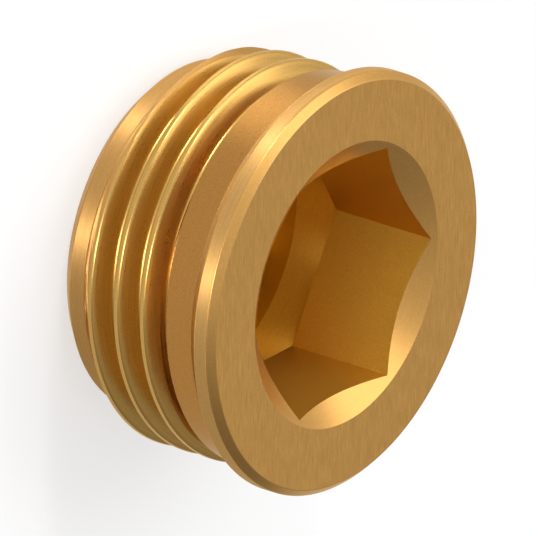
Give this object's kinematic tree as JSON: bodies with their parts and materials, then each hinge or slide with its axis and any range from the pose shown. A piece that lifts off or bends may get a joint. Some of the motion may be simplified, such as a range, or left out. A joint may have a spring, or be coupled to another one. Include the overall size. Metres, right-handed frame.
{
  "type": "manifold end plug",
  "caption": "Short brass screw plug with a flanged head, parallel pipe thread, smooth neck and a countersunk hexagon key socket, closing the end of a manifold.",
  "frame": {"origin": "centre of the flat rear end that goes into the manifold, on the plug's axis", "axes": "+Z along the plug's axis from the rear end to the head, so the key socket opens towards +Z; +X through two opposite corners of the hexagon"},
  "size_m": [0.0176, 0.0176, 0.009],
  "materials": {
    "brass": "machined, satin"
  },
  "bodies": {
    "root": {"plug_body": "brass"}
  },
  "joints": []
}
